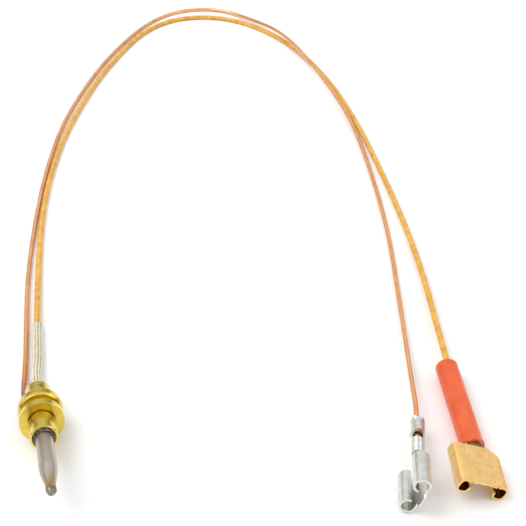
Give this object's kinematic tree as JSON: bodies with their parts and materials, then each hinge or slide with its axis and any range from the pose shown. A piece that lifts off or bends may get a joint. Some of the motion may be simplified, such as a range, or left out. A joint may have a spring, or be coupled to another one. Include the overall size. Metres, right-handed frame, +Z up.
{
  "type": "thermocouple",
  "caption": "Thermocouple with a flanged brass head, a steel sensing tip, an insulated lead and a bare copper lead, push-on receptacles and a loose insulating sleeve.",
  "frame": {"origin": "on the head's axis, at the front face of the front flange, which seats in the burner", "axes": "+Z up from the surface that the object lies on; the sensing tip points along -Y and 12 degrees upwards; +X is across the head towards the receptacles"},
  "size_m": [0.085, 0.1912, 0.0091],
  "materials": {
    "turned_brass": "turned and polished",
    "dark_braze": "dark glossy braze",
    "heat_resisting_steel": "satin, swaged",
    "weld_bead": "dull weld",
    "element_alloy": "drawn wire",
    "ceramic": "unglazed",
    "copper": "bare drawn copper",
    "knitted_glass_fibre": "knitted glass fibre",
    "amber_jacket": "varnished glass silk",
    "solder": "solder fillet",
    "tinned_sheet": "tin plate, satin",
    "brass_sheet": "stamped sheet",
    "red_coating": "satin coating",
    "woven_sleeve": "woven glass fibre"
  },
  "bodies": {
    "thermocouple": {"head_body": "turned_brass", "braze_ring": "dark_braze", "tip_sheath": "heat_resisting_steel", "tip_bead": "weld_bead", "element_wire": "element_alloy", "tip_insulator": "ceramic", "rear_bush": "ceramic", "splice_ferrule": "copper", "root_sleeve": "knitted_glass_fibre", "lead_jacket": "amber_jacket", "lead_core": "copper", "copper_lead": "copper", "lead_solder": "solder", "tinned_receptacle": "tinned_sheet", "brass_receptacle": "brass_sheet"},
    "insulating_sleeve": {"sleeve_coating": "red_coating", "sleeve_braid": "woven_sleeve"}
  },
  "joints": [
    {"name": "sleeve_slide", "type": "slide", "parent": "thermocouple", "child": "insulating_sleeve", "axis": [0.176, 0.9844, 0], "range_m": [0, 0.006]}
  ]
}
